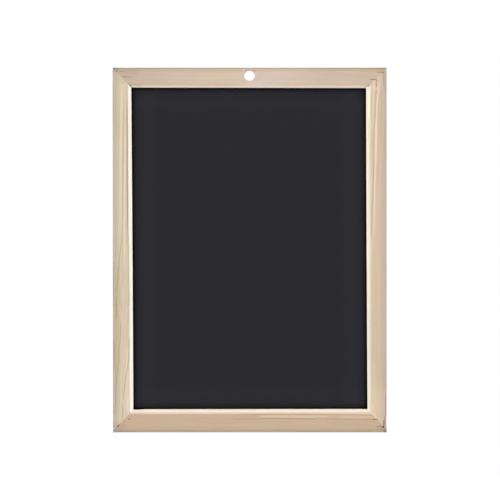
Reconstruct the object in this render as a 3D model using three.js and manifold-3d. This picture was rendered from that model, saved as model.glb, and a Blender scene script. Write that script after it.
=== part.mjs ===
// A framed chalkboard: a moulded pine frame, mitred and held at its corners by V-nails, closed round a
// hardboard panel whose black writing face looks out of the frame.
// Millimetres. X runs to the right as seen from the front, Y from the front to the wall, and Z up.
// The origin is the centre of the hanging hole, on the plane of the frame's back.

import * as THREE from "three";
import { mergeVertices, toCreasedNormals } from "three/addons/utils/BufferGeometryUtils.js";
import Module from "manifold-3d";

const wasm = await Module();
wasm.setup();

// The board over its frame
const boardWidth = 300;
const boardHeight = 400;

// The frame's moulding: widths are measured inwards from its outer edge, depths forwards from its back
const railWidth = 22; // top rail and both stiles
const bottomRailWidth = 26;
const backLip = 4; // wood behind the groove
const grooveDepth = 5;
const sightEdge = 1.25; // upright wall in front of the groove
const bevelWidth = 5; // rounded bevel round the opening
const bevelDepth = 2.4;
const quirk = 0.3; // step between the bevel and the flat front
const outerRound = 3;
const backEase = 0.8;
const mitreGap = 0.3;

// The panel in the groove
const coreThickness = 3.2;
const writingThickness = 0.5;
const glueLine = 0.05;
const panelFit = 0.15; // on each face of the panel
const panelSeat = 0.1; // under the panel's lower edge
const panelSideGap = 1; // room to swell at each side
const panelTopGap = 1.5;

// The hanging hole through the top rail
const holeDiameter = 12;
const holeEase = 0.6;

// The V-nails, driven from the back across each mitre
const nailLeg = 5;
const nailCurl = 0.9; // bent end of each leg
const nailThickness = 0.5;
const nailHeight = 7;
const nailEdge = 0.12; // thickness left at the cutting edge
const nailEdgeHeight = 1.5; // height over which the nail thins to it
const nailSunk = 0.4;
const nailFit = 0.1;
const nailsPerCorner = 2;
const nailMargin = 2.5; // wood between the first nail's legs and the frame's outer edges
const nailToGroove = 3.5; // wood between the last nail's point and the groove

// Fineness of round shapes, and how far a cutting shape runs past what it cuts
const curveSteps = 8;
const holeSides = 48;
const overrun = 5;

const grooveWidth = coreThickness + glueLine + writingThickness + 2 * panelFit;
const sightTop = backLip + grooveWidth + sightEdge;
const frameDepth = sightTop + bevelDepth + quirk;
const holeDrop = (railWidth - grooveDepth) / 2; // mid-way between the top edge and the groove

// The frame's outer edges and the edges of its opening, in the plan of the board (X, Z)
const outer = {
  left: -boardWidth / 2,
  right: boardWidth / 2,
  top: holeDrop,
  bottom: holeDrop - boardHeight,
};
const sight = {
  left: outer.left + railWidth,
  right: outer.right - railWidth,
  top: outer.top - railWidth,
  bottom: outer.bottom + bottomRailWidth,
};

const pineFinish = { roughness: 0.62, metalness: 0 };
const materials = {
  topPine: new THREE.MeshStandardMaterial({ color: 0xd2bea8, ...pineFinish }),
  leftPine: new THREE.MeshStandardMaterial({ color: 0xd9c9af, ...pineFinish }),
  rightPine: new THREE.MeshStandardMaterial({ color: 0xd6c2a8, ...pineFinish }),
  bottomPine: new THREE.MeshStandardMaterial({ color: 0xcab297, ...pineFinish }),
  hardboard: new THREE.MeshStandardMaterial({ color: 0x7a5a3c, roughness: 0.8, metalness: 0 }),
  writingFace: new THREE.MeshStandardMaterial({ color: 0x2d2c31, roughness: 0.9, metalness: 0 }),
  nailSteel: new THREE.MeshStandardMaterial({ color: 0x8d9196, roughness: 0.4, metalness: 1 }),
};

const board = new THREE.Group();
board.name = "chalkboard";

// Closed solid of a closed geometry
function solidOf(geometry) {
  const bare = geometry.clone();
  bare.deleteAttribute("normal");
  bare.deleteAttribute("uv");
  const merged = mergeVertices(bare);
  const mesh = new wasm.Mesh({
    numProp: 3,
    vertProperties: new Float32Array(merged.attributes.position.array),
    triVerts: new Uint32Array(merged.index.array),
  });
  return new wasm.Manifold(mesh);
}

// Geometry of a solid, flat on its faces and smooth round its curves
function geometryOf(solid) {
  const { vertProperties, triVerts } = solid.getMesh();
  const geometry = new THREE.BufferGeometry();
  geometry.setAttribute("position", new THREE.BufferAttribute(vertProperties, 3));
  geometry.setIndex(new THREE.BufferAttribute(triVerts, 1));
  return toCreasedNormals(geometry, Math.PI / 8);
}

function addPiece(name, geometry, material) {
  const piece = new THREE.Mesh(geometry, material);
  piece.name = name;
  board.add(piece);
}

// What is drawn in the board's plan and given a depth stands with that depth running forwards
function standUp(geometry) {
  return geometry.rotateX(Math.PI / 2);
}

// Section of the moulding: u inwards from the outer edge, v forwards from the back.
// The front lines of a wider rail lie wider apart, so that they meet the other rails' on the mitre.
function railSection(width) {
  const widening = width / railWidth;
  const bevel = bevelWidth * widening;
  const round = outerRound * widening;
  const grooveFloor = width - grooveDepth;
  const section = new THREE.Shape();
  section.moveTo(0, backEase);
  section.absarc(backEase, backEase, backEase, Math.PI, 1.5 * Math.PI, false);
  section.lineTo(width, 0);
  section.lineTo(width, backLip);
  section.lineTo(grooveFloor, backLip);
  section.lineTo(grooveFloor, backLip + grooveWidth);
  section.lineTo(width, backLip + grooveWidth);
  section.absellipse(width - bevel, sightTop, bevel, bevelDepth, 0, Math.PI / 2, false);
  section.lineTo(width - bevel, frameDepth);
  section.absellipse(round, frameDepth - outerRound, round, outerRound, Math.PI / 2, Math.PI, false);
  return section;
}

// A length of moulding along one side, longer than the side by the overrun at each end
function moulding(side) {
  const depth = side.length + 2 * overrun;
  const bar = new THREE.ExtrudeGeometry(railSection(side.width), {
    depth,
    bevelEnabled: false,
    curveSegments: curveSteps,
  });
  bar.translate(0, 0, -depth / 2);
  const forwards = new THREE.Vector3(0, -1, 0);
  const along = new THREE.Vector3().crossVectors(side.inwards, forwards);
  const place = new THREE.Matrix4().makeBasis(side.inwards, forwards, along);
  return bar.applyMatrix4(place.setPosition(side.middle));
}

// A corner's mitre runs from the frame's outer corner to the corner of its opening
function mitreAt(level, hand) {
  const start = new THREE.Vector2(outer[hand], outer[level]);
  const end = new THREE.Vector2(sight[hand], sight[level]);
  const along = end.clone().sub(start).normalize();
  return { name: `${level}_${hand}`, start, end, along, width: Math.min(railWidth, Math.abs(end.y - start.y)) };
}

const corners = {
  top_left: mitreAt("top", "left"),
  top_right: mitreAt("top", "right"),
  bottom_left: mitreAt("bottom", "left"),
  bottom_right: mitreAt("bottom", "right"),
};

// The cut at one end of a rail: the mitre, set back by half the gap towards the rail's other end
function mitreCut(corner, other) {
  const setBack = new THREE.Vector2(-corner.along.y, corner.along.x).multiplyScalar(mitreGap / 2);
  if (setBack.dot(other.start.clone().sub(corner.start)) < 0) {
    setBack.negate();
  }
  const past = corner.along.clone().multiplyScalar(overrun);
  return [
    corner.start.clone().sub(past).add(setBack),
    corner.end.clone().add(past).add(setBack),
  ];
}

// Everything between a rail's two mitre cuts
function betweenMitres(first, second) {
  const [firstOuter, firstInner] = mitreCut(first, second);
  const [secondOuter, secondInner] = mitreCut(second, first);
  const plan = new THREE.Shape([firstOuter, secondOuter, secondInner, firstInner]);
  const depth = frameDepth + 2 * overrun;
  const block = new THREE.ExtrudeGeometry(plan, { depth, bevelEnabled: false });
  block.translate(0, 0, -overrun);
  return standUp(block);
}

// Plan of one V-nail: its point on the mitre towards the opening, a leg in each rail, both ends curled
function nailPlan(corner, place, longer) {
  const point = corner.start.clone().lerp(corner.end, place / corner.width);
  const legs = [1, -1].map((hand) => {
    const origin = new THREE.Vector2();
    const leg = corner.along.clone().negate().rotateAround(origin, (hand * Math.PI) / 4);
    const curl = leg.clone().rotateAround(origin, (hand * Math.PI) / 5);
    const bend = point.clone().addScaledVector(leg, nailLeg - nailCurl);
    return [bend, bend.clone().addScaledVector(curl, nailCurl + longer)];
  });
  return [legs[0][1], legs[0][0], point, legs[1][0], legs[1][1]];
}

// Outline of a strip that follows a path, anticlockwise
function stripOutline(path, thickness) {
  const near = [];
  const far = [];
  path.forEach((point, i) => {
    const before = path[Math.max(i - 1, 0)];
    const after = path[Math.min(i + 1, path.length - 1)];
    const into = point.clone().sub(before).normalize();
    const out = after.clone().sub(point).normalize();
    const tangent = into.clone().add(out).normalize();
    const side = new THREE.Vector2(tangent.y, -tangent.x);
    const straight = i === 0 ? out : into;
    const reach = thickness / 2 / tangent.dot(straight);
    near.push(point.clone().addScaledVector(side, reach));
    far.unshift(point.clone().addScaledVector(side, -reach));
  });
  return [...near, ...far];
}

// A closed skin through outlines that have the same number of points, one for each depth
function loft(levels) {
  const count = levels[0].outline.length;
  const last = count * (levels.length - 1);
  const positions = levels.flatMap(({ outline, depth }) => outline.flatMap((p) => [p.x, p.y, depth]));
  const index = [];
  for (let ring = 0; ring < last; ring += count) {
    for (let i = 0; i < count; i += 1) {
      const here = ring + i;
      const next = ring + ((i + 1) % count);
      index.push(here, next, next + count, here, next + count, here + count);
    }
  }
  for (const [a, b, c] of THREE.ShapeUtils.triangulateShape(levels[0].outline, [])) {
    index.push(c, b, a, last + a, last + b, last + c);
  }
  const geometry = new THREE.BufferGeometry();
  geometry.setAttribute("position", new THREE.Float32BufferAttribute(positions, 3));
  geometry.setIndex(index);
  return geometry;
}

function vNail(corner, place) {
  const plan = nailPlan(corner, place, 0);
  const front = nailSunk + nailHeight;
  const shank = stripOutline(plan, nailThickness);
  const edge = stripOutline(plan, nailEdge);
  return standUp(loft([
    { outline: shank, depth: nailSunk },
    { outline: shank, depth: front - nailEdgeHeight },
    { outline: edge, depth: front },
  ]));
}

// The slot that a V-nail leaves in the wood, open at the back
function nailSlot(corner, place) {
  const outline = stripOutline(nailPlan(corner, place, nailFit), nailThickness + 2 * nailFit);
  const depth = overrun + nailSunk + nailHeight + nailFit;
  const slot = new THREE.ExtrudeGeometry(new THREE.Shape(outline), { depth, bevelEnabled: false });
  slot.translate(0, 0, -overrun);
  return standUp(slot);
}

// Where the points of a corner's V-nails lie, measured inwards and spread over the wood beside the groove
function nailPlaces(corner) {
  const first = nailMargin + nailLeg;
  const last = corner.width - grooveDepth - nailToGroove;
  const pitch = (last - first) / Math.max(nailsPerCorner - 1, 1);
  return Array.from({ length: nailsPerCorner }, (_, i) => first + i * pitch);
}

// The hanging hole with its eased rims
function hangingHole() {
  const radius = holeDiameter / 2;
  const flare = radius + holeEase + overrun;
  const profile = [
    new THREE.Vector2(0, -overrun),
    new THREE.Vector2(flare, -overrun),
    new THREE.Vector2(radius, holeEase),
    new THREE.Vector2(radius, frameDepth - holeEase),
    new THREE.Vector2(flare, frameDepth + overrun),
    new THREE.Vector2(0, frameDepth + overrun),
  ];
  return new THREE.LatheGeometry(profile, holeSides, Math.PI / holeSides).rotateX(Math.PI);
}

// The frame: four lengths of moulding, mitred, slotted for the V-nails, and the top one drilled
const middleHeight = (outer.top + outer.bottom) / 2;
const sides = [
  {
    name: "top_rail",
    width: railWidth,
    length: boardWidth,
    middle: new THREE.Vector3(0, 0, outer.top),
    inwards: new THREE.Vector3(0, 0, -1),
    ends: [corners.top_left, corners.top_right],
    material: materials.topPine,
  },
  {
    name: "bottom_rail",
    width: bottomRailWidth,
    length: boardWidth,
    middle: new THREE.Vector3(0, 0, outer.bottom),
    inwards: new THREE.Vector3(0, 0, 1),
    ends: [corners.bottom_left, corners.bottom_right],
    material: materials.bottomPine,
  },
  {
    name: "left_stile",
    width: railWidth,
    length: boardHeight,
    middle: new THREE.Vector3(outer.left, 0, middleHeight),
    inwards: new THREE.Vector3(1, 0, 0),
    ends: [corners.top_left, corners.bottom_left],
    material: materials.leftPine,
  },
  {
    name: "right_stile",
    width: railWidth,
    length: boardHeight,
    middle: new THREE.Vector3(outer.right, 0, middleHeight),
    inwards: new THREE.Vector3(-1, 0, 0),
    ends: [corners.top_right, corners.bottom_right],
    material: materials.rightPine,
  },
];

for (const side of sides) {
  let rail = solidOf(moulding(side)).intersect(solidOf(betweenMitres(...side.ends)));
  for (const corner of side.ends) {
    for (const place of nailPlaces(corner)) {
      rail = rail.subtract(solidOf(nailSlot(corner, place)));
    }
  }
  if (side.name === "top_rail") {
    rail = rail.subtract(solidOf(hangingHole()));
  }
  addPiece(side.name, geometryOf(rail), side.material);
}

// The V-nails
for (const corner of Object.values(corners)) {
  nailPlaces(corner).forEach((place, i) => {
    const nail = geometryOf(solidOf(vNail(corner, place)));
    addPiece(`v_nail_${corner.name}_${i + 1}`, nail, materials.nailSteel);
  });
}

// The panel: both layers stand in the groove, with its lower edge on the bottom rail
const panel = {
  left: sight.left - grooveDepth + panelSideGap,
  right: sight.right + grooveDepth - panelSideGap,
  bottom: sight.bottom - grooveDepth + panelSeat,
  top: sight.top + grooveDepth - panelTopGap,
};

function panelLayer(back, thickness) {
  const layer = new THREE.BoxGeometry(panel.right - panel.left, thickness, panel.top - panel.bottom);
  layer.translate(
    (panel.left + panel.right) / 2,
    -(back + thickness / 2),
    (panel.bottom + panel.top) / 2,
  );
  return layer;
}

const coreBack = backLip + panelFit;
addPiece("board_core", panelLayer(coreBack, coreThickness), materials.hardboard);
const writingBack = coreBack + coreThickness + glueLine;
addPiece("writing_surface", panelLayer(writingBack, writingThickness), materials.writingFace);

export default board;
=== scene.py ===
import math
from dataclasses import dataclass

import bmesh
import bpy
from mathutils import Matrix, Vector, noise


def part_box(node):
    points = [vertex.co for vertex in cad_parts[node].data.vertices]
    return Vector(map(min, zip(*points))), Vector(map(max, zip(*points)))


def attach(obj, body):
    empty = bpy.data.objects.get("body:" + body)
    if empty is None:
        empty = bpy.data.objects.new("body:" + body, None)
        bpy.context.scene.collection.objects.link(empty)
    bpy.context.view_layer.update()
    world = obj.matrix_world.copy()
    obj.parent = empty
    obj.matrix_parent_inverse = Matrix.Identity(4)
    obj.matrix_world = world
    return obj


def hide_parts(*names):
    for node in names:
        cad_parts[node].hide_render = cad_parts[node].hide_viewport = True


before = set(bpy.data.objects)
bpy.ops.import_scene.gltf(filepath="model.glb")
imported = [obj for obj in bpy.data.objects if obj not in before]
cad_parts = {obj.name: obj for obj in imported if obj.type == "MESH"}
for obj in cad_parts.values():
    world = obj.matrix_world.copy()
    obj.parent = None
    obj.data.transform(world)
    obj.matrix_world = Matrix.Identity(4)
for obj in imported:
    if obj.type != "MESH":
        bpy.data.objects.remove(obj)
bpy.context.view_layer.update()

# A framed chalkboard: a mitred pine moulding round a hardboard panel with a black writing face.
# Metres, in the model's own frame: X to the right as seen from the front, Y towards the wall, Z up,
# with the origin at the hanging hole, on the plane of the frame's back.
MM = 0.001

# The moulding's section: distances inwards from the outer edge, depths forwards from the back
RAIL_WIDTH = 22 * MM
BACK_LIP = 4 * MM
GROOVE_WIDTH = 4.05 * MM
GROOVE_DEPTH = 5 * MM
SIGHT_EDGE = 1.25 * MM
BEVEL_WIDTH = 5 * MM
BEVEL_DEPTH = 2.4 * MM
OUTER_ROUND = 3 * MM
BACK_EASE = 0.8 * MM
SIGHT_TOP = BACK_LIP + GROOVE_WIDTH + SIGHT_EDGE
FRAME_DEPTH = -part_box("top_rail")[0].y

# Hand work on the wood
ARRIS = 0.28 * MM  # how far a sharp edge is rounded off
MITRE_ARRIS = 0.07 * MM
MITRE_GAP = 0.1 * MM
BEVEL_WANDER = 0.35 * MM  # how far sanding moved the line between the bevel and the flat front
WANDER_REACH = 0.7 * BEVEL_WIDTH  # how far to each side of that line the wood moved with it
WANDER_LENGTH = 28 * MM
PLANING_DIP = 0.06 * MM
DIP_LENGTH = 35 * MM
DIP_BREADTH = 9 * MM

# The hanging hole
HOLE_RADIUS = 6 * MM
HOLE_EASE = 0.35 * MM
RIM_TURN = 75  # degrees that a rounded rim turns before it meets the face

# Room for cutting
NAIL_GRIP = 0.03 * MM  # round a V-nail in the wood
OVERRUN = 2 * MM  # how far a cutting shape runs past what it cuts
TOUCHING = 0.01 * MM  # places closer than this count as one

# Fineness of the meshes
CURVE_STEPS = 14
EASE_STEPS = 5
SECTION_STEP = 2.2 * MM
STATION_STEP = 4 * MM
HOLE_SIDES = 96
SHARP_TURN = math.radians(40)  # corners of the section that turn further are eased
SHARP_SHADE = math.radians(32)  # edges that turn further are shaded as edges

# The frame's outer and inner edges
outer = {
    "left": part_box("left_stile")[0].x,
    "right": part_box("right_stile")[1].x,
    "top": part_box("top_rail")[1].z,
    "bottom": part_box("bottom_rail")[0].z,
}
inner = {
    "left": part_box("left_stile")[1].x,
    "right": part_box("right_stile")[0].x,
    "top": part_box("top_rail")[0].z,
    "bottom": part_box("bottom_rail")[1].z,
}
board_middle = Vector((
    (outer["left"] + outer["right"]) / 2,
    -FRAME_DEPTH,
    (outer["top"] + outer["bottom"]) / 2,
))

# How far each corner of the frame, and then of its opening, lies from square, in mm along X and Z
OUT_OF_SQUARE = {
    "top_left": [(0, 0), (-1.6, 0.17)],
    "top_right": [(0, 0), (-0.4, -0.43)],
    "bottom_left": [(0.5, 0.65), (0.72, 0)],
    "bottom_right": [(0, 0.65), (1.14, 0.3)],
}


def corner_points(name):
    """The outer and the inner end of a corner's mitre, in the plan of the board."""
    level, hand = name.split("_")
    square = [Vector((edges[hand], edges[level])) for edges in (outer, inner)]
    return [point + Vector(shift) * MM for point, shift in zip(square, OUT_OF_SQUARE[name])]


corners = {name: corner_points(name) for name in OUT_OF_SQUARE}


@dataclass
class GrainLine:
    """A line or band that shows by itself in the grain of a rail, in mm."""

    path: list  # points along and across the rail
    half_width: float
    tone: tuple  # what it multiplies the wood's red, green and blue by
    fade: float  # the length over which its ends fade


@dataclass
class Rail:
    """One length of moulding.

    Distances along it, in mm, run from its left or upper end, and those across it from its outer edge.
    """

    name: str
    width: float
    ends: tuple  # its corners, in the order of its length
    colour: str
    edge_shade_colour: str  # painted shade on its outer edge
    edge_shade: list  # the painted edge shade's share across the rail
    tone: list  # lightness along the rail
    # The bevel's colour is a painted highlight
    bevel_highlight_colour: str
    bevel_highlight_fade: tuple  # where the bevel's painted highlight starts and is full, in mm from the opening
    drift: list  # how the rings move across the rail along its length, in mm
    ring_contrast: float
    seed: float  # gives it a grain of its own
    lines: list
    bow: float = 0  # how far its middle leans into the opening, in mm

    @property
    def upright(self):
        return self.name.endswith("stile")

    @property
    def length(self):
        return (corners[self.ends[1]][0] - corners[self.ends[0]][0]).length


# Tones that several lines share
MARK = (0.42, 0.36, 0.31)
SOILED = (0.50, 0.46, 0.38)
DIM = (0.72, 0.69, 0.67)
DARK = (0.80, 0.76, 0.72)
FAINT = (0.90, 0.88, 0.85)
PALE = (1.10, 1.10, 1.11)
BRIGHT = (1.18, 1.21, 1.25)

TOP_RAIL_LINES = [
    # Duller wood at the left end
    GrainLine([(-1, 0.4), (9, 0.4)], 0.9, (0.74, 0.82, 0.86), 3),
    GrainLine([(-2, 1.6), (7, 1.6)], 2.6, (0.70, 0.76, 0.80), 3),
    GrainLine([(10, 4.4), (30, 4.6)], 3.4, (0.94, 0.93, 0.88), 8),
    GrainLine([(3, 8), (30, 8)], 7, (0.965, 0.955, 0.925), 8),
    GrainLine([(20, 20.0), (34, 20.0)], 2.6, (0.88, 0.89, 0.90), 5),
    # Yellower and duller wood at the right end
    GrainLine([(262, 9), (290, 9)], 10, (0.975, 0.96, 0.93), 10),
    GrainLine([(270, 1.2), (302, 1.2)], 1.8, (0.92, 0.92, 0.80), 8),
    GrainLine([(275.5, 20.8), (281, 20.8)], 1.6, (0.86, 0.86, 0.80), 2),
    GrainLine([(287, 2.8), (303, 2.8)], 1.6, (0.96, 0.93, 0.80), 5),
    GrainLine([(287, 0.5), (302, 0.5)], 0.9, (0.78, 0.79, 0.68), 5),
    GrainLine([(299, 0.8), (303, 0.8)], 1.6, (0.72, 0.68, 0.66), 2),
    # Dark lines beside the mitres
    GrainLine([(3.4, 4.4), (5.4, 4.4)], 0.7, MARK, 1),
    GrainLine([(5.4, 4.4), (12.5, 4.5)], 0.6, DARK, 2),
    GrainLine([(10, 10.2), (22, 10.4)], 1.0, DARK, 4),
    GrainLine([(281.5, 12.9), (292, 12.9)], 0.6, MARK, 1.5),
    GrainLine([(288.5, 5.2), (299, 5.3)], 0.7, (0.70, 0.60, 0.50), 2),
    # Fine lines on the bevel
    GrainLine([(44, 19.5), (72, 19.4)], 0.4, FAINT, 6),
    GrainLine([(118, 19.5), (142, 19.4)], 0.4, FAINT, 6),
    GrainLine([(182, 19.3), (206, 19.3)], 0.4, FAINT, 6),
    # Paler wood beside the hole and along the bevel
    GrainLine([(150, 13), (195, 14)], 10, (1.0, 1.05, 1.17), 36),
    GrainLine([(147, 17.6), (166, 17.6)], 3.2, (1.035, 1.055, 1.10), 8),
    # Painted light where the bevel starts to turn down from the flat
    GrainLine([(115, 17.4), (285, 17.4)], 1.4, (1.05, 1.06, 1.09), 20),
]

LONG_RING = [
    (130, 14.7), (149, 14.7), (161, 15.3), (178, 15.8),
    (218, 15.2), (225, 16.2), (238, 15.3), (289, 14.7),
]

BOTTOM_RAIL_LINES = [
    # A ring that shows as a long dark line, with brighter wood above it, and a dull line of painted shade
    # along the step where the bevel starts
    GrainLine(LONG_RING, 0.7, DARK, 20),
    GrainLine([(158, 17.2), (178, 17.9), (218, 17.5), (240, 17.5)], 1.8, (1.19, 1.28, 1.28), 16),
    GrainLine([(240, 17.4), (288, 17.1)], 1.8, (1.14, 1.17, 1.19), 16),
    GrainLine([(140, 20.0), (180, 20.3), (230, 20.2), (260, 19.8)], 0.9, (0.85, 0.86, 0.79), 40),
    # Duller wood at the left end
    GrainLine([(-2, 1.9), (12, 1.9)], 3.0, (0.80, 0.88, 0.98), 5),
    GrainLine([(2, 9.0), (15, 9.0)], 5, (0.90, 0.90, 0.88), 6),
    GrainLine([(17, 0.8), (26, 0.8)], 1.0, (0.92, 0.93, 0.90), 4),
    GrainLine([(20, 23.5), (34, 23.5)], 1.8, (0.92, 0.94, 0.95), 6),
    # Duller wood towards the right end
    GrainLine([(238, 10.5), (290, 9.5)], 4.2, (0.95, 0.945, 0.95), 10),
    GrainLine([(268, 1.9), (296, 1.9)], 3.2, (0.92, 0.98, 0.88), 10),
    GrainLine([(274, 19.4), (284, 19.4)], 0.8, (0.92, 0.95, 0.95), 3),
    GrainLine([(290, 4.2), (297, 4.2)], 1.6, (0.88, 0.86, 0.82), 3),
    # Marks and dirt at the right mitre
    GrainLine([(283.8, 14.7), (291, 14.7)], 0.6, MARK, 1),
    GrainLine([(288, 6.7), (297, 6.6)], 0.5, MARK, 2),
    GrainLine([(296, 1.3), (304, 1.3)], 3.2, SOILED, 1.5),
    # The lower edge catches the light
    GrainLine([(30, 0.8), (200, 0.8)], 0.9, (1.06, 1.09, 1.13), 30),
]

LOWEST_RING = [(278, 8.8), (300, 8.0), (307, 6.9), (322, 6.2), (344, 3.8), (362, 2.9), (384, 1.8)]

LEFT_STILE_LINES = [
    # A painted shade line along the step where the bevel starts, then rings that show as dark lines and run
    # outwards further down
    GrainLine([(30, 16.9), (70, 17.1), (100, 17.0), (150, 16.8), (190, 16.4)], 0.8, (0.55, 0.52, 0.50), 40),
    GrainLine([(26, 13.0), (90, 12.4), (133, 11.8), (180, 10.8)], 0.8, DARK, 40),
    GrainLine([(180, 10.5), (200, 9.0), (211, 7.6), (233, 5.6), (247, 4.3)], 0.6, DIM, 16),
    GrainLine([(294, 18.6), (320, 17.2), (333, 15.1), (358, 12.0), (366, 11.7)], 0.6, DIM, 10),
    GrainLine(LOWEST_RING, 0.7, DIM, 10),
    # Short dark lines
    GrainLine([(170, 11.2), (205, 11.0)], 0.9, FAINT, 12),
    GrainLine([(254, 9.8), (266, 9.8)], 0.6, FAINT, 4),
    GrainLine([(290, 12.7), (306, 12.3)], 0.5, FAINT, 5),
    GrainLine([(318, 10.9), (337, 10.7)], 0.5, FAINT, 6),
    GrainLine([(371, 10.9), (386, 10.9)], 0.6, DARK, 3),
    # Pale bands
    GrainLine([(20, 10.9), (33, 10.7), (90, 9.4), (145, 8.2), (190, 7.6)], 1.0, PALE, 40),
    GrainLine([(60, 14.6), (90, 14.3), (133, 13.7), (177, 13.3), (230, 13.0)], 1.1, PALE, 30),
    GrainLine([(300, 14.0), (345, 16.2), (392, 15.5)], 2.2, PALE, 24),
    # Dull bands
    GrainLine([(18, 8.8), (45, 8.5), (80, 7.8)], 1.3, (0.94, 0.935, 0.93), 16),
    GrainLine([(200, 11.8), (240, 11.8)], 1.8, (0.92, 0.935, 0.94), 14),
    GrainLine([(244, 9.4), (284, 9.4)], 1.0, (0.92, 0.95, 0.98), 8),
    # Yellower wood where the bevel starts
    GrainLine([(180, 17.8), (225, 18.1), (262, 18.3)], 0.8, (0.90, 0.86, 0.76), 14),
    GrainLine([(170, 18.2), (300, 18.4)], 0.9, (0.94, 0.915, 0.86), 40),
    # Changes of tone along the outer edge
    GrainLine([(20, 0.6), (60, 0.6)], 0.8, (0.86, 0.87, 0.90), 12),
    GrainLine([(70, 3.0), (185, 3.0)], 2.4, (1.02, 1.035, 1.06), 30),
    GrainLine([(203, 5.0), (238, 4.0)], 2.4, (1.06, 1.05, 1.04), 12),
    GrainLine([(211, 0.9), (250, 0.9)], 0.9, (0.78, 0.80, 0.74), 6),
    GrainLine([(215, 3.4), (350, 3.8)], 2.6, (1.0, 0.965, 0.88), 30),
    GrainLine([(251, 4.0), (262, 4.0)], 1.1, (0.90, 0.86, 0.74), 4),
    GrainLine([(258, 4.2), (276, 4.0)], 1.4, (0.93, 0.80, 0.66), 7),
    GrainLine([(298, 1.4), (333, 1.5)], 0.9, (0.76, 0.76, 0.76), 10),
    # Duller wood at the upper mitre
    GrainLine([(-2, 1.5), (6, 1.5)], 2.4, (0.80, 0.82, 0.83), 3),
    GrainLine([(6, 8.0), (20, 9.5)], 2.6, (0.90, 0.905, 0.905), 4),
    GrainLine([(10.5, 12.6), (19, 13.2)], 1.8, (0.89, 0.895, 0.89), 3),
    # Duller wood at the lower mitre
    GrainLine([(366, 10.6), (388, 10.3)], 0.9, (0.84, 0.86, 0.88), 6),
    GrainLine([(372, 15.2), (392, 15.2)], 2.2, (0.90, 0.915, 0.95), 5),
    GrainLine([(386, 8.6), (390, 7.6)], 1.4, (0.86, 0.84, 0.84), 2),
    GrainLine([(386, 2.4), (404, 2.4)], 3.0, (0.86, 0.85, 0.90), 4),
    GrainLine([(395, 1.0), (404, 1.0)], 2.0, (0.80, 0.82, 0.85), 3),
]

RIGHT_STILE_LINES = [
    # Rings that show as dark lines
    GrainLine([(22, 11.8), (42, 12.8), (64, 13.2), (72, 14.0), (97, 14.3)], 0.6, (0.87, 0.84, 0.80), 14),
    GrainLine([(97, 14.3), (123, 14.7), (145, 15.3), (156, 16.4), (192, 16.9)], 0.7, DARK, 20),
    GrainLine([(22, 11.3), (60, 12.6)], 0.6, DARK, 8),
    GrainLine([(27, 16.3), (42, 16.8), (62, 16.6)], 0.6, FAINT, 6),
    GrainLine([(40, 8.4), (130, 10.2)], 0.6, FAINT, 20),
    GrainLine([(20, 5.2), (50, 6.0), (90, 6.8)], 0.6, FAINT, 20),
    # Bright bands in the upper half
    GrainLine([(12, 7.5), (31, 9.7), (42, 10.8), (90, 12.0), (148, 13.6), (188, 14.6)], 1.3, BRIGHT, 30),
    GrainLine([(18, 11.0), (45, 12.0), (68, 11.8), (108, 11.4)], 1.8, (1.07, 1.09, 1.12), 20),
    GrainLine([(22, 14.0), (44, 14.8), (70, 16.0)], 1.8, (1.10, 1.13, 1.14), 12),
    GrainLine([(20, 17.6), (70, 17.6)], 0.8, (1.06, 1.09, 1.08), 12),
    GrainLine([(20, 18.6), (60, 19.4)], 1.5, (1.14, 1.17, 1.19), 16),
    GrainLine([(105, 13.3), (150, 14.0)], 1.6, (1.03, 1.06, 1.06), 14),
    # Pale wood at the upper mitre, with a greyed edge
    GrainLine([(13, 13.5), (26, 13.5)], 3.0, (1.15, 1.17, 1.16), 4),
    GrainLine([(15, 10.8), (24, 10.8)], 1.2, (1.10, 1.10, 1.08), 3),
    GrainLine([(8, 6.2), (24, 6.6)], 2.6, (1.07, 1.07, 1.15), 8),
    GrainLine([(8, 2.0), (26, 2.0)], 1.6, (0.91, 0.92, 0.98), 6),
    # Duller wood where the bevel starts
    GrainLine([(195, 18.2), (260, 18.2), (385, 19.0)], 1.2, (0.96, 0.95, 0.91), 24),
    GrainLine([(225, 17.4), (380, 17.4)], 1.0, (0.94, 0.94, 0.89), 24),
    GrainLine([(364, 19.6), (376, 19.6)], 1.4, (0.92, 0.93, 0.88), 6),
    # Pale wood towards the lower mitre
    GrainLine([(320, 13.6), (385, 13.6)], 3.6, (1.06, 1.08, 1.05), 16),
    GrainLine([(366, 16.6), (382, 16.4)], 1.8, (1.06, 1.07, 1.08), 6),
    GrainLine([(377.1, 16.3), (390.3, 6.4)], 1.5, (1.09, 1.11, 1.16), 3),
    # Dark marks at the upper mitre
    GrainLine([(12.6, 11.4), (22, 11.3)], 0.6, MARK, 2),
    GrainLine([(12.5, 12.4), (13.4, 12.4)], 1.2, MARK, 0.3),
    GrainLine([(4.8, 3.7), (20, 3.5)], 0.6, DARK, 5),
    GrainLine([(4.7, 3.9), (6.1, 3.9)], 1.3, MARK, 0.5),
    # Dark marks and dirt at the lower mitre
    GrainLine([(358, 1.4), (376, 1.6), (386, 2.5), (394, 2.7)], 0.6, (0.72, 0.60, 0.55), 4),
    GrainLine([(383.5, 12.2), (389, 9.0), (395, 3.2)], 1.9, (0.66, 0.64, 0.62), 2),
    GrainLine([(384, 2.1), (392, 2.2)], 0.9, (0.78, 0.72, 0.68), 4),
    GrainLine([(384.9, 11.7), (385.7, 11.7)], 0.9, MARK, 0.3),
    GrainLine([(385, 3.7), (395, 3.8)], 0.6, MARK, 4),
    GrainLine([(392.4, 5.0), (393.5, 5.0)], 1.5, MARK, 0.3),
    GrainLine([(394.6, 1.4), (404, 1.4)], 2.8, SOILED, 1.2),
]

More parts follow.
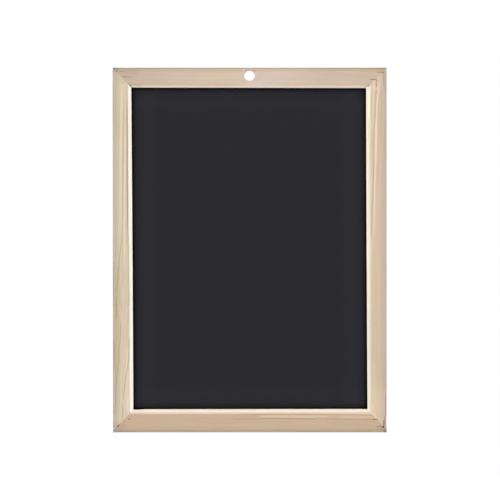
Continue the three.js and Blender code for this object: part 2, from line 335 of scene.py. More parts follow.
RAILS = [
    Rail(
        name="top_rail",
        width=RAIL_WIDTH,
        ends=("top_left", "top_right"),
        colour="d2beaa",
        edge_shade_colour="b09c88",
        edge_shade=[(0, 1), (1.4, 0.55), (3, 0.25), (6, 0), (22, 0)],
        tone=[
            (0, 0.78), (9, 0.88), (45, 0.91), (80, 0.99),
            (190, 1.02), (240, 0.95), (288, 0.96), (300, 0.82),
        ],
        bevel_highlight_colour="e9dac8",
        bevel_highlight_fade=(3.6, 0.8),
        drift=[(0, 0), (90, 1.5), (200, 0.4), (300, 1.2)],
        ring_contrast=0.3,
        seed=3.0,
        lines=TOP_RAIL_LINES,
    ),
    Rail(
        name="bottom_rail",
        width=inner["bottom"] - outer["bottom"],
        ends=("bottom_left", "bottom_right"),
        colour="cab297",
        edge_shade_colour="a89a86",
        edge_shade=[(0, 0.8), (1.5, 0.5), (3.7, 0.32), (6.5, 0.1), (8, 0), (26, 0)],
        tone=[(0, 0.98), (150, 1.0), (300, 1.0)],
        bevel_highlight_colour="fbeedd",
        bevel_highlight_fade=(6.8, 1.6),
        drift=[(0, 0), (110, -1.2), (215, 0.3), (300, -0.5)],
        ring_contrast=0.35,
        seed=11.0,
        lines=BOTTOM_RAIL_LINES,
    ),
    Rail(
        name="left_stile",
        width=RAIL_WIDTH,
        ends=("top_left", "bottom_left"),
        colour="dccbb3",
        edge_shade_colour="a89f90",
        edge_shade=[(0, 1), (0.8, 0.85), (3, 0.5), (5.5, 0.36), (7.2, 0.26), (9, 0.02), (22, 0)],
        tone=[(0, 0.98), (60, 1.0), (190, 1.0), (235, 0.95), (300, 0.97), (400, 1.04)],
        bevel_highlight_colour="fefaf0",
        bevel_highlight_fade=(4.6, 2.6),
        drift=[(0, -0.4), (100, 0.8), (195, 1.8), (240, -4.4), (281, -7.5), (363, -13.5), (400, -15.8)],
        ring_contrast=0.4,
        seed=23.0,
        lines=LEFT_STILE_LINES,
        bow=0.15,
    ),
    Rail(
        name="right_stile",
        width=RAIL_WIDTH,
        ends=("top_right", "bottom_right"),
        colour="d5c0a8",
        edge_shade_colour="a3917c",
        edge_shade=[(0, 1), (1.5, 0.6), (3.7, 0.22), (7, 0.1), (10, 0), (22, 0)],
        tone=[(0, 1.0), (200, 1.0), (300, 0.98), (335, 0.95), (358, 1.03), (400, 1.04)],
        bevel_highlight_colour="fbf2e0",
        bevel_highlight_fade=(7.0, 1.0),
        drift=[(0, 0), (64, 2.1), (153, 5.2), (190, 5.6), (300, 6.2), (400, 7.5)],
        ring_contrast=0.35,
        seed=37.0,
        lines=RIGHT_STILE_LINES,
        bow=0.17,
    ),
]


@dataclass
class Chip:
    """A gap, dent or worn place in the wood, in mm."""

    rails: tuple  # those that it cuts
    corner: str  # the corner of the board that it is measured from
    inwards: tuple  # along X and along Z
    depth: float  # below the front
    reach: tuple  # to each side: along its length, across it and in depth
    turn: float  # of its length, in degrees from X
    dirt_and_shade: float  # how dark it is painted: dirt, and shade in a gap
    ragged: float = 0.35

    @property
    def centre(self):
        level, hand = self.corner.split("_")
        x = outer[hand] + (1 if hand == "left" else -1) * self.inwards[0] * MM
        z = outer[level] + (-1 if level == "top" else 1) * self.inwards[1] * MM
        return Vector((x, self.depth * MM - FRAME_DEPTH, z))


CHIPS = [
    # Gaps where the mitres open, darkened with dirt and painted shade
    Chip(("top_rail", "left_stile"), "top_left", (19.8, 20.2), 1.0, (3.0, 0.5, 1.7), -45, 0.9),
    Chip(("top_rail", "right_stile"), "top_right", (19.8, 19.9), 0.8, (1.8, 0.6, 1.4), 45, 0.7),
    Chip(("bottom_rail", "left_stile"), "bottom_left", (6.4, 8.2), 0.2, (1.9, 0.8, 1.0), 47, 0.4),
    Chip(("bottom_rail", "right_stile"), "bottom_right", (4.0, 6.8), 0.4, (1.3, 0.8, 1.0), 10, 0.6),
    # A dent, and edges worn down
    Chip(("bottom_rail",), "bottom_left", (18.5, 15.4), 0.0, (0.9, 0.8, 0.4), 10, 0.8),
    Chip(("right_stile",), "bottom_right", (-1.2, 14.6), 6.5, (15.0, 1.5, 18.0), 90, 0.0, ragged=0.05),
    Chip(("bottom_rail",), "bottom_left", (25.0, 26.5), 3.0, (14.0, 1.0, 3.2), 0, 0.0),
    Chip(("bottom_rail",), "bottom_right", (22.0, 26.95), 3.0, (8.0, 1.0, 3.2), 0, 0.0),
    # A speck beside the hole
    Chip(("top_rail",), "top_left", (156.3, 4.0), 0.0, (0.8, 0.6, 0.35), 30, 0.6),
]


def chips_in(rail):
    return [chip for chip in CHIPS if rail.name in chip.rails]


# Shapes


def quarter(centre, reach, start, steps):
    """A quarter of an ellipse in the section, anticlockwise from an angle in degrees."""
    angles = [math.radians(start + 90 * i / steps) for i in range(steps + 1)]
    return [
        Vector((centre[0] + reach[0] * math.cos(a), centre[1] + reach[1] * math.sin(a)))
        for a in angles
    ]


def ease_corners(outline, radius):
    """The outline with each sharp corner rounded off a little."""
    eased = []
    for i, point in enumerate(outline):
        before = outline[i - 1] - point
        after = outline[(i + 1) % len(outline)] - point
        if math.pi - before.angle(after) < SHARP_TURN:
            eased.append(point)
            continue
        reach = min(radius, before.length / 3, after.length / 3)
        start = point + before.normalized() * reach
        end = point + after.normalized() * reach
        for t in (0, 1 / 3, 2 / 3, 1):
            eased.append(start * (1 - t) ** 2 + point * (2 * t * (1 - t)) + end * t**2)
    return eased


def evenly(outline, longest):
    """The outline with its long straights cut into equal steps."""
    cut = []
    for i, point in enumerate(outline):
        after = outline[(i + 1) % len(outline)]
        steps = max(1, math.ceil((after - point).length / longest))
        cut += [point.lerp(after, k / steps) for k in range(steps)]
    return cut


def inset(outline, distance):
    """The outline drawn in by a small distance on all sides."""
    drawn_in = []
    for i, point in enumerate(outline):
        along = (outline[(i + 1) % len(outline)] - outline[i - 1]).normalized()
        drawn_in.append(point + Vector((-along.y, along.x)) * distance)
    return drawn_in


def section(width):
    """The moulding's outline, anticlockwise, with the front lines spread over a wider rail."""
    widening = width / RAIL_WIDTH
    bevel = BEVEL_WIDTH * widening
    outer_round = OUTER_ROUND * widening
    groove_floor = width - GROOVE_DEPTH
    groove_front = BACK_LIP + GROOVE_WIDTH
    outline = [
        *quarter((BACK_EASE, BACK_EASE), (BACK_EASE, BACK_EASE), 180, EASE_STEPS),
        Vector((width, 0)),
        Vector((width, BACK_LIP)),
        Vector((groove_floor, BACK_LIP)),
        Vector((groove_floor, groove_front)),
        Vector((width, groove_front)),
        *quarter((width - bevel, SIGHT_TOP), (bevel, BEVEL_DEPTH), 0, CURVE_STEPS),
        Vector((width - bevel, FRAME_DEPTH)),
        *quarter((outer_round, FRAME_DEPTH - OUTER_ROUND), (outer_round, OUTER_ROUND), 90, CURVE_STEPS),
    ]
    return evenly(ease_corners(outline, ARRIS), SECTION_STEP)


def sanded(rail, point, distance):
    """A point of the section, moved as planing and sanding moved the real surface there."""
    if point.y < SIGHT_TOP:
        return point
    bevel_line = rail.width - BEVEL_WIDTH * rail.width / RAIL_WIDTH
    nearness = max(0, 1 - abs(point.x - bevel_line) / WANDER_REACH)
    wander = noise.noise(Vector((distance / WANDER_LENGTH, rail.seed, 0))) * BEVEL_WANDER
    dip = noise.noise(Vector((distance / DIP_LENGTH, point.x / DIP_BREADTH, rail.seed + 5)))
    return point + Vector((wander * nearness, -PLANING_DIP * (0.5 + 0.5 * dip)))


def plan_point(rail, across, along, past):
    """A place in the board's plan: shares of the way across and along a rail, and a distance past it."""
    outer_start, inner_start = corners[rail.ends[0]]
    outer_end, inner_end = corners[rail.ends[1]]
    across *= 1 + 4 * along * (1 - along) * rail.bow * MM / rail.width
    start = outer_start.lerp(inner_start, across)
    end = outer_end.lerp(inner_end, across)
    return start.lerp(end, along) + (end - start).normalized() * past


def rail_mesh(rail):
    """The rail's moulding between its two mitres, as a closed skin of rings."""
    outline = section(rail.width)
    setback = MITRE_GAP / 2
    rounding = [  # how far past the mitre's plane, and how far the section is drawn in there
        (setback, MITRE_ARRIS),
        (setback + 0.3 * MITRE_ARRIS, 0.35 * MITRE_ARRIS),
        (setback + MITRE_ARRIS, 0),
    ]
    steps = round(rail.length / STATION_STEP)
    stations = [
        *[(0, past, draw) for past, draw in rounding],
        *[(i / steps, 0, 0) for i in range(1, steps)],
        *[(1, -past, draw) for past, draw in reversed(rounding)],
    ]
    bm = bmesh.new()
    rings = []
    for along, past, draw in stations:
        ring = []
        for point in inset(outline, draw):
            point = sanded(rail, point, along * rail.length)
            place = plan_point(rail, point.x / rail.width, along, past)
            ring.append(bm.verts.new((place.x, -point.y, place.y)))
        rings.append(ring)
    return skinned(bm, rings, rail.name)


def skinned(bm, rings, name):
    """A closed mesh through rings of vertices, with flat ends."""
    for near, far in zip(rings, rings[1:]):
        for i in range(len(near)):
            k = (i + 1) % len(near)
            bm.faces.new((near[i], near[k], far[k], far[i]))
    bm.faces.new(reversed(rings[0]))
    bm.faces.new(rings[-1])
    return closed_mesh(bm, name)


def closed_mesh(bm, name):
    """A mesh from a closed skin, with its faces turned outwards."""
    if bm.calc_volume(signed=True) < 0:
        bmesh.ops.reverse_faces(bm, faces=bm.faces)
    return mesh_from(bm, name)


def mesh_from(bm, name):
    mesh = bpy.data.meshes.new(name)
    bm.to_mesh(mesh)
    bm.free()
    return mesh


def add_object(name, content):
    made = bpy.data.objects.new(name, content)
    bpy.context.scene.collection.objects.link(made)
    return made


def hole_cutter():
    """The hanging hole with rounded rims, as a closed turned shape along Y."""
    rim = []
    for step in range(EASE_STEPS + 1):
        angle = math.radians(RIM_TURN * step / EASE_STEPS)
        rim.append((HOLE_RADIUS + HOLE_EASE * (1 - math.cos(angle)), HOLE_EASE * (1 - math.sin(angle))))
    radius, depth = rim[-1]
    flare = math.tan(math.radians(RIM_TURN))
    rim.append((radius + (depth + OVERRUN) * flare, -OVERRUN))
    profile = [*reversed(rim), *[(r, FRAME_DEPTH - d) for r, d in rim]]
    turns = [2 * math.pi * (i + 0.5) / HOLE_SIDES for i in range(HOLE_SIDES)]
    bm = bmesh.new()
    rings = []
    for radius, depth in profile:
        rings.append([bm.verts.new((radius * math.cos(a), -depth, radius * math.sin(a))) for a in turns])
    return skinned(bm, rings, "hole")


def nail_cutter(node):
    """The slot that a V-nail cut for itself: the nail's own shape, a little larger, open at the back."""
    nail = bmesh.new()
    nail.from_mesh(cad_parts[node].data)
    bmesh.ops.remove_doubles(nail, verts=nail.verts, dist=TOUCHING)
    nail.normal_update()
    back = max(v.co.y for v in nail.verts)
    grown = [v.co + v.normal * NAIL_GRIP * v.calc_shell_factor() for v in nail.verts]
    for vert, place in zip(nail.verts, grown):
        if vert.co.y > back - TOUCHING:
            place.y = OVERRUN
        vert.co = place
    return closed_mesh(nail, "slot")


def chip_cutter(chip):
    """A more or less ragged ball, stretched and turned in the board's plan."""
    lumps_per_radius = 1.7
    bm = bmesh.new()
    bmesh.ops.create_icosphere(bm, subdivisions=3, radius=1)
    length, breadth, depth = (r * MM for r in chip.reach)
    turn = math.radians(chip.turn)
    lengthwise = Vector((math.cos(turn), 0, math.sin(turn)))
    crosswise = Vector((-lengthwise.z, 0, lengthwise.x))
    backwards = Vector((0, 1, 0))
    centre = chip.centre
    own_noise = Vector((CHIPS.index(chip) * 4.0, 0, 0))
    for vert in bm.verts:
        unit = vert.co * (1 + chip.ragged * noise.noise(vert.co * lumps_per_radius + own_noise))
        place = centre + lengthwise * unit.x * length
        vert.co = place + crosswise * unit.y * breadth + backwards * unit.z * depth
    return closed_mesh(bm, "chip")


def cut_rail(piece, rail):
    """Cuts the V-nails' slots, the chips and the hanging hole out of a rail."""
    own_nails = tuple("v_nail_" + end for end in rail.ends)
    shapes = [nail_cutter(node) for node in sorted(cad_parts) if node.startswith(own_nails)]
    shapes += [chip_cutter(chip) for chip in chips_in(rail)]
    if rail.name == "top_rail":
        shapes.append(hole_cutter())
    bm = bmesh.new()
    for shape in shapes:
        bm.from_mesh(shape)
    cutter = add_object("cutter", mesh_from(bm, "cutter"))
    cut = piece.modifiers.new("cuts", "BOOLEAN")
    cut.object = cutter
    cut.solver = "EXACT"
    apply_modifiers(piece)
    bpy.data.objects.remove(cutter)


def apply_modifiers(piece):
    bpy.context.view_layer.update()
    evaluated = piece.evaluated_get(bpy.context.evaluated_depsgraph_get())
    mesh = bpy.data.meshes.new_from_object(evaluated)
    piece.modifiers.clear()
    piece.data = mesh


def shade_by_angle(piece):
    """Shades the piece smooth, apart from its sharp edges, with its large faces flat."""
    piece.data.shade_smooth()
    piece.data.set_sharp_from_angle(angle=SHARP_SHADE)
    weighted = piece.modifiers.new("even_shading", "WEIGHTED_NORMAL")
    weighted.keep_sharp = True
    weighted.weight = 90  # above 50, large faces count for more


# Surfaces


class Value:
    """A number or colour that varies over a surface. Arithmetic on it adds the nodes that work it out."""

    def __init__(self, graph, socket):
        self.graph = graph
        self.socket = socket

    def __add__(self, other):
        return self.graph.math("ADD", self, other)

    def __sub__(self, other):
        return self.graph.math("SUBTRACT", self, other)

    def __rsub__(self, other):
        return self.graph.math("SUBTRACT", other, self)

    def __mul__(self, other):
        return self.graph.math("MULTIPLY", self, other)

    def __truediv__(self, other):
        return self.graph.math("DIVIDE", self, other)


class Graph:
    """A node tree, written as formulas."""

    def __init__(self, tree):
        self.tree = tree

    def node(self, kind, **settings):
        made = self.tree.nodes.new("ShaderNode" + kind)
        for name, value in settings.items():
            setattr(made, name, value)
        return made

    def feed(self, socket, value):
        if isinstance(value, Value):
            self.tree.links.new(value.socket, socket)
        else:
            socket.default_value = value

    def math(self, operation, *values):
        made = self.node("Math", operation=operation)
        for socket, value in zip(made.inputs, values):
            self.feed(socket, value)
        return Value(self, made.outputs[0])

    def distance(self, a, b):
        """The length of a straight line that spans a one way and b at right angles to it."""
        return self.math("SQRT", a * a + b * b)

    def position(self):
        """X, Y and Z on the object, in mm."""
        place = self.node("TexCoord")
        split = self.node("SeparateXYZ")
        self.tree.links.new(place.outputs["Object"], split.inputs[0])
        return [Value(self, out) / MM for out in split.outputs]

    def noise(self, x, y, z, detail=2.0, roughness=0.5):
        """Smooth noise from about -1 to 1, with grains of size 1 in the given coordinates."""
        usual_middle = 0.5
        stretch = 2.6  # from its usual reach to about 1
        place = self.node("CombineXYZ")
        for socket, value in zip(place.inputs, (x, y, z)):
            self.feed(socket, value)
        made = self.node("TexNoise", noise_dimensions="3D")
        made.inputs["Scale"].default_value = 1
        made.inputs["Detail"].default_value = detail
        made.inputs["Roughness"].default_value = roughness
        self.tree.links.new(place.outputs[0], made.inputs["Vector"])
        return (Value(self, made.outputs["Fac"]) - usual_middle) * stretch

    def smooth(self, value, low, high, start=0.0, end=1.0):
        """Passes smoothly from start, where the value is low, to end, where it is high."""
        made = self.node("MapRange", interpolation_type="SMOOTHSTEP")
        for socket, number in zip(made.inputs, (value, low, high, start, end)):
            self.feed(socket, number)
        return Value(self, made.outputs[0])

    def curve(self, value, points):
        """A smooth line through points, level beyond its ends."""
        first, last = points[0][0], points[-1][0]
        low = min(y for _, y in points)
        least_spread = 1e-6  # for a level line, whose points have none
        spread = max(max(y for _, y in points) - low, least_spread)
        made = self.node("FloatCurve")
        made.mapping.extend = "HORIZONTAL"
        line = made.mapping.curves[0]
        for _ in points[2:]:
            line.points.new(0.5, 0.5)
        for handle, (x, y) in zip(line.points, points):
            handle.location = ((x - first) / (last - first), (y - low) / spread)
        made.mapping.update()
        self.feed(made.inputs["Value"], (value - first) / (last - first))
        return Value(self, made.outputs[0]) * spread + low

    def mix(self, share, colour, other, blend="MIX"):
        made = self.node("Mix", data_type="RGBA", blend_type=blend)
        factor, first, second = (made.inputs[i] for i in (0, 6, 7))  # those for colours
        self.feed(factor, share)
        self.feed(first, colour)
        self.feed(second, other)
        return Value(self, made.outputs[2])

    def tint(self, colour, tone, share):
        """The colour multiplied by a tone, as far as the share goes."""
        return self.mix(share, colour, (*tone, 1), "MULTIPLY")

    def lighten(self, colour, value):
        made = self.node("VectorMath", operation="SCALE")
        self.feed(made.inputs[0], colour if isinstance(colour, Value) else colour[:3])
        self.feed(made.inputs["Scale"], value)
        return Value(self, made.outputs[0])

    def seen(self):
        """1 for what shows straight, by reflection or through glass, and 0 for light on other things."""
        rays = self.node("LightPath")
        seen = Value(self, rays.outputs["Is Camera Ray"])
        for kind in ("Is Glossy Ray", "Is Transmission Ray"):
            seen = self.math("MAXIMUM", seen, Value(self, rays.outputs[kind]))
        return seen


class Finish(Graph):
    """The node tree of one material."""

    def __init__(self, name, **fixed):
        self.material = bpy.data.materials.new(name)
        self.material.use_nodes = True
        super().__init__(self.material.node_tree)
        self.shader = self.tree.nodes["Principled BSDF"]
        for socket, value in fixed.items():
            self.shader.inputs[socket.replace("_", " ")].default_value = value

    def complete(self, colour, roughness, height, relief):
        """Gives the shader its colour, roughness and a bump from a height of 0 to 1 times the relief."""
        self.feed(self.shader.inputs["Base Color"], colour)
        self.feed(self.shader.inputs["Roughness"], roughness)
        bump = self.node("Bump")
        bump.inputs["Distance"].default_value = relief
        self.feed(bump.inputs["Height"], height)
        self.tree.links.new(bump.outputs[0], self.shader.inputs["Normal"])
        return self.material


def linear(code):
    """A colour written as six hex digits, in the linear numbers that shaders take."""
    channels = [int(code[i:i + 2], 16) / 255 for i in (0, 2, 4)]
    return (*[c / 12.92 if c <= 0.04045 else ((c + 0.055) / 1.055) ** 2.4 for c in channels], 1)


def edge_place(place, start, end, cross_axis):
    """Where a straight edge from start to end lies in X or Z, in mm, beside a place on the board."""
    long_axis = 1 - cross_axis
    rise = (end - start)[cross_axis] / (end - start)[long_axis]
    return (place[long_axis] - start[long_axis] / MM) * rise + start[cross_axis] / MM


def rail_axes(g, rail):
    """Distances along a rail, across it from its outer edge and forwards from its back, in mm."""
    x, y, z = g.position()
    outer_start, inner_start = corners[rail.ends[0]]
    outer_end, inner_end = corners[rail.ends[1]]
    long_axis, cross_axis = (1, 0) if rail.upright else (0, 1)
    place = (x, z)
    along = place[long_axis] - outer_start[long_axis] / MM
    if rail.upright:
        along = along * -1

    outer_edge = edge_place(place, outer_start, outer_end, cross_axis)
    inner_edge = edge_place(place, inner_start, inner_end, cross_axis)
    across = (place[cross_axis] - outer_edge) / (inner_edge - outer_edge) * (rail.width / MM)
    return along, across, y * -1


# The pine's rings and tints
RING_SPACING = 3.9  # mm
PITH_ASIDE = 52  # mm from the rail's outer edge
PITH_BEHIND = 30  # mm behind its back
LATE_WOOD = (0.86, 0.80, 0.73)
FLECK = (0.74, 0.66, 0.56)
WARMER = (1.015, 0.995, 0.965)


def pine(rail):
    """Planed pine: growth rings that drift across the rail, fibres, painted shade on its outer edge and a
    painted highlight on its bevel.
    """
    g = Finish("pine_" + rail.name, Specular_IOR_Level=0.35)
    along, across, forwards = rail_axes(g, rail)
    slanted = across - g.curve(along, rail.drift)
    width = rail.width / MM
    seed = rail.seed

    def grain(length, breadth, depth, detail, roughness=0.5, beside=across):
        """Noise with grains of a length along the rail, a breadth across it and a depth, in mm."""
        return g.noise(along / length, beside / breadth, forwards / depth + seed, detail, roughness)

    # Growth rings, as arcs round a pith that lies beside and behind the rail
    wander = grain(75, 16, 16, 1.5) * 1.3
    ripple = grain(14, 3, 3, 2) * 0.18
    radius = g.distance(slanted + PITH_ASIDE, forwards + PITH_BEHIND)
    ring = g.math("FRACT", (radius + wander + ripple) / RING_SPACING + seed * 0.37)
    late_wood = g.smooth(ring, 0.3, 0.9) * g.smooth(ring, 0.92, 1.0, 1.0, 0.0)
    ring_strength = g.smooth(g.noise(along / 110, across / 7, seed, 1), -0.5, 0.9, 0.25, 1.0)

    # Fibres and streaks, drawn out along the rail
    streak = grain(70, 1.5, 2, 3, 0.6, slanted)
    fibre = grain(16, 0.28, 0.3, 3, 0.65, slanted)
    mottle = grain(30, 9, 9, 2)
    warmth = g.noise(along / 17, across / 12, forwards / 12 - seed, 1)
    flecks = g.smooth(grain(3.5, 0.16, 0.2, 2, beside=slanted), 0.62, 0.95)

    # Painted shade darkens the outer edge, and a painted highlight makes the bevel paler
    sight_top = SIGHT_TOP / MM
    on_front = g.smooth(forwards, sight_top - 1.2, sight_top - 0.4)
    uneven = across + g.noise(along / 45, seed, 0, 2) * 0.25
    fade_start, fade_end = (width - distance for distance in rail.bevel_highlight_fade)
    # A painted highlight on the bevel
    bevel_highlight = g.smooth(uneven, fade_start, fade_end) * on_front
    # Painted shade on the rounded outer edge, strongest towards the front
    outer_shade = g.curve(uneven, rail.edge_shade) * g.smooth(forwards, 4, 8.5, 0.35, 1.0)

    colour = g.mix(outer_shade, linear(rail.colour), linear(rail.edge_shade_colour))
    colour = g.lighten(colour, g.curve(along, rail.tone))
    colour = g.mix(bevel_highlight, colour, linear(rail.bevel_highlight_colour))
    colour = g.tint(colour, LATE_WOOD, late_wood * ring_strength * rail.ring_contrast)
    colour = g.lighten(colour, streak * 0.06 + fibre * 0.035 + mottle * 0.02 + 1)
    colour = g.tint(colour, FLECK, flecks * 0.3)
    colour = g.tint(colour, WARMER, g.smooth(warmth, -0.8, 0.8))

    # Lines and dirt show on the front half
    on_line_side = g.smooth(forwards, 6, 8)
    for line in rail.lines:
        share = line_share(g, line, along, across, ripple)
        colour = g.tint(colour, line.tone, share * on_line_side)
    on_chip_side = g.smooth(forwards, 5, 7)
    for chip in chips_in(rail):
        if chip.dirt_and_shade:
            colour = g.tint(colour, MARK, chip_share(g, chip) * on_chip_side)

    roughness = late_wood * -0.08 + fibre * 0.05 + 0.62
    height = fibre * 0.3 + streak * 0.35 - late_wood * 0.25 - flecks * 0.5 + 0.5
    return g.complete(colour, roughness, height, relief=0.05 * MM)


def line_share(g, line, along, across, ripple):
    """How strongly a grain line shows. The longer ones follow the ripple of the rings."""
    short_fade = 5
    first, last = line.path[0][0], line.path[-1][0]
    off = across - g.curve(along, line.path)
    if line.fade > short_fade:
        off = off + ripple * 1.2
    near = g.smooth(g.math("ABSOLUTE", off), line.half_width * 0.25, line.half_width * 1.3, 1.0, 0.0)
    begun = g.smooth(along, first - line.fade * 0.3, first + line.fade * 0.7)
    not_over = g.smooth(along, last - line.fade * 0.7, last + line.fade * 0.3, 1.0, 0.0)
    return near * begun * not_over


def chip_share(g, chip):
    """How strongly a chip's dark colour shows, in it and just round it: dirt, and painted shade in the
    gaps.
    """
    x, _, z = g.position()
    aside, above = x - chip.centre.x / MM, z - chip.centre.z / MM
    cosine, sine = math.cos(math.radians(chip.turn)), math.sin(math.radians(chip.turn))
    lengthwise = (aside * cosine + above * sine) / chip.reach[0]
    crosswise = (above * cosine - aside * sine) / chip.reach[1]
    return g.smooth(g.distance(lengthwise, crosswise), 0.5, 1.4, chip.dirt_and_shade, 0.0)


# Painted shade: the writing paint is darkest beside the frame, in the shade of the recess
WRITING_BLACK = "1f1f24"
RECESS_SHADE = [(0, 0.2), (1.4, 0.35), (3.2, 0.68), (7, 1), (30, 1)]  # lightness by the distance in mm

OPENING_SIDES = [  # the corners at the ends of each side, and which of X and Z it lies across
    ("top_left", "bottom_left", 0),
    ("top_right", "bottom_right", 0),
    ("top_left", "top_right", 1),
    ("bottom_left", "bottom_right", 1),
]


def chalk_face():
    """Matt black writing paint on hardboard: a fine stipple, faintly cloudy."""
    g = Finish("writing_paint")
    x, _, z = g.position()
    cloud = g.noise(x / 70, z / 90, 1.0, 3, 0.55)
    wipe = g.noise(x / 60 + z / 140, z / 9, 5.0, 3, 0.6)
    stipple = g.noise(x / 0.35, z / 0.35, 9.0, 3, 0.6)
    pits = g.smooth(g.noise(x / 0.9, z / 0.9, 14.0, 1), 0.75, 1.1)
    tone = cloud * 0.05 + wipe * 0.03 + stipple * 0.10 + 1

    # Painted shade in the recess beside the frame, which also weakens the paint's reflection there
    recess_shade = 1
    for start, end, cross_axis in OPENING_SIDES:
        edge = edge_place((x, z), corners[start][1], corners[end][1], cross_axis)
        distance = g.math("ABSOLUTE", (x, z)[cross_axis] - edge)
        recess_shade = g.curve(distance, RECESS_SHADE) * recess_shade
    colour = g.lighten(linear(WRITING_BLACK), tone * recess_shade)
    g.feed(g.shader.inputs["Specular IOR Level"], recess_shade * 0.22)
    roughness = cloud * 0.03 + stipple * 0.03 + 0.86
    height = stipple * 0.4 - pits * 0.5 + 0.5
    return g.complete(colour, roughness, height, relief=0.05 * MM)


def hardboard():
    """The brown back of hardboard, with the print of the screen that it was pressed on."""
    g = Finish("hardboard", Specular_IOR_Level=0.3)
    x, _, z = g.position()
    board_brown = linear("86623f")
    dark_speck = (0.55, 0.48, 0.40)
    wire_pitch = 1.6  # mm
    shift = g.noise(x / 30, z / 30, 2.0, 1) * 0.12
    across_wires = g.math("SINE", (x / wire_pitch + shift) * (2 * math.pi))
    along_wires = g.math("SINE", (z / wire_pitch - shift) * (2 * math.pi))
    screen = across_wires * along_wires
    fibre = g.noise(x / 0.7, z / 1.1, 3.0, 4, 0.65)
    cloud = g.noise(x / 45, z / 60, 7.0, 3, 0.55)
    specks = g.smooth(g.noise(x / 0.8, z / 0.5, 12.0, 2), 0.6, 1.0)
    colour = g.lighten(board_brown, cloud * 0.10 + fibre * 0.12 + screen * 0.07 + 1)
    colour = g.tint(colour, dark_speck, specks * 0.6)
    roughness = fibre * 0.06 + 0.78
    height = screen * 0.35 + fibre * 0.2 + 0.5
    return g.complete(colour, roughness, height, relief=0.18 * MM)


def nail_steel():
    """Bright strip steel with drawing lines along the nail and a little tarnish."""
    g = Finish("nail_steel", Metallic=1.0)
    bright, tarnished = linear("b4b8bd"), linear("7f776d")
    x, y, z = g.position()
    drawn = g.noise(x / 0.9, y / 0.05, z / 0.9, 2)
    tarnish = g.smooth(g.noise(x / 2.2, y / 2.2, z / 2.2 + 3, 3), -0.1, 0.9)
    colour = g.mix(tarnish * 0.7, bright, tarnished)
    roughness = drawn * 0.07 + tarnish * 0.2 + 0.34
    return g.complete(colour, roughness, drawn * 0.5 + 0.5, relief=0.01 * MM)


# The board's pieces


def build_rails():
    for rail in RAILS:
        piece = add_object(rail.name.replace("_", "_moulding_", 1), rail_mesh(rail))
        cut_rail(piece, rail)
        shade_by_angle(piece)
        piece.data.materials.clear()
        piece.data.materials.append(pine(rail))
        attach(piece, "root")
        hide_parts(rail.name)


def dress_node(name, material, ease):
    """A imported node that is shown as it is, with its own finish and slightly eased edges."""
    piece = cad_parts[name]
    piece.data.materials.clear()
    piece.data.materials.append(material)
    if ease:
        edges = piece.modifiers.new("eased_edges", "BEVEL")
        edges.width = ease
        edges.segments = 2


def dress_panel():
    dress_node("writing_surface", chalk_face(), ease=0)
    dress_node("board_core", hardboard(), ease=0.2 * MM)


def dress_nails():
    steel = nail_steel()
    for name in sorted(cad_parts):
        if name.startswith("v_nail"):
            dress_node(name, steel, ease=0.05 * MM)


# Floor, light and camera


def add_floor():
    """A pale floor well below the board.

    It is nearly white where the board's shadow can fall, and further out it passes into plain white.
    """
    drop = 0.16
    half_size = 2.4
    shadow_reach, plain_white = 450, 1100  # mm out from under the board
    pale = (0.93, 0.93, 0.93)
    glow = 0.16  # of white, so that what shows round the shadow is white in this light
    bm = bmesh.new()
    bmesh.ops.create_grid(bm, x_segments=1, y_segments=1, size=half_size)
    floor = add_object("floor", mesh_from(bm, "floor"))
    floor.location = (0, 0, outer["bottom"] - drop)
    g = Finish("pale_floor", Roughness=0.9, Specular_IOR_Level=0.0)
    x, y, _ = g.position()
    seen = g.seen()
    far = g.smooth(g.distance(x, y), shadow_reach, plain_white)
    mottle = g.noise(x / 300, y / 300, 0, 2) * 0.006 + 1
    g.feed(g.shader.inputs["Base Color"], g.lighten(pale, mottle * (1 - seen * far)))
    g.shader.inputs["Emission Color"].default_value = (1, 1, 1, 1)
    g.feed(g.shader.inputs["Emission Strength"], seen * (far * (1 - glow) + glow))
    floor.data.materials.append(g.material)


def light_world(ambient):
    """White behind everything that shows, and a plain soft light on it."""
    world = bpy.data.worlds.new("studio")
    bpy.context.scene.world = world
    world.use_nodes = True
    g = Graph(world.node_tree)
    background = g.tree.nodes["Background"]
    background.inputs["Color"].default_value = (1, 1, 1, 1)
    g.feed(background.inputs["Strength"], g.seen() * (1 - ambient) + ambient)


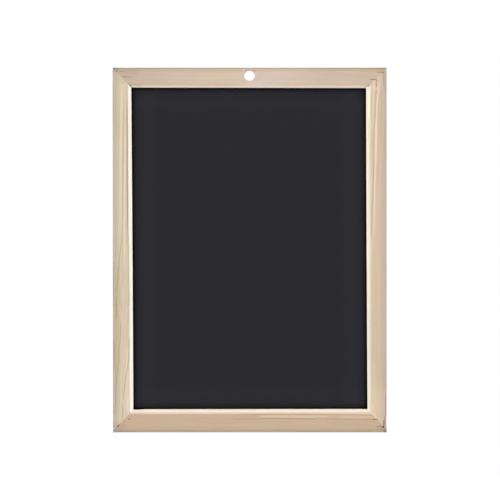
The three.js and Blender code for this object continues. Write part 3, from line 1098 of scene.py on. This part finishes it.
def add_lamp(name, azimuth, elevation, distance, size, power):
    """A soft square lamp aimed at the board's middle. Azimuth 0 is in front, and 90 to its right."""
    lamp = bpy.data.lights.new(name, "AREA")
    lamp.shape = "SQUARE"
    lamp.size = size
    lamp.energy = power
    turn, rise = math.radians(azimuth), math.radians(elevation)
    away = Vector((math.sin(turn) * math.cos(rise), -math.cos(turn) * math.cos(rise), math.sin(rise)))
    holder = add_object(name, lamp)
    holder.location = board_middle + away * distance
    holder.rotation_mode = "QUATERNION"
    holder.rotation_quaternion = away.to_track_quat("Z", "Y")


def add_lamps():
    add_lamp("front_light", azimuth=0, elevation=20, distance=2.6, size=1.8, power=6)
    add_lamp("top_light", azimuth=0, elevation=68, distance=2.2, size=1.4, power=14)
    add_lamp("low_light", azimuth=0, elevation=-55, distance=2.2, size=1.4, power=5)
    add_lamp("left_light", azimuth=-72, elevation=4, distance=2.2, size=1.2, power=27)
    add_lamp("right_light", azimuth=72, elevation=4, distance=2.2, size=1.2, power=27)
    add_lamp("back_light", azimuth=180, elevation=35, distance=2.6, size=1.6, power=36)


def add_camera():
    """Square on to the board, where the photograph was taken from."""
    view_distance = 2.0
    photo_size = 500  # pixels
    mm_per_pixel = 1.095
    board_in_photo = (249.58, 250.3)  # the board's middle, in pixels
    camera = bpy.data.cameras.new("camera")
    camera.sensor_width = 36  # mm
    silhouette_depth = FRAME_DEPTH - OUTER_ROUND
    field = photo_size * mm_per_pixel * MM
    camera.lens = camera.sensor_width * (view_distance + FRAME_DEPTH - silhouette_depth) / field
    right = (photo_size / 2 - board_in_photo[0]) * mm_per_pixel * MM
    up = (board_in_photo[1] - photo_size / 2) * mm_per_pixel * MM
    holder = add_object("camera", camera)
    holder.location = board_middle + Vector((right, -view_distance, up))
    holder.rotation_euler = (math.pi / 2, 0, 0)
    bpy.context.scene.camera = holder


build_rails()
dress_panel()
dress_nails()
add_floor()
light_world(ambient=0.28)
add_lamps()
add_camera()
bpy.context.scene.view_settings.view_transform = "Standard"
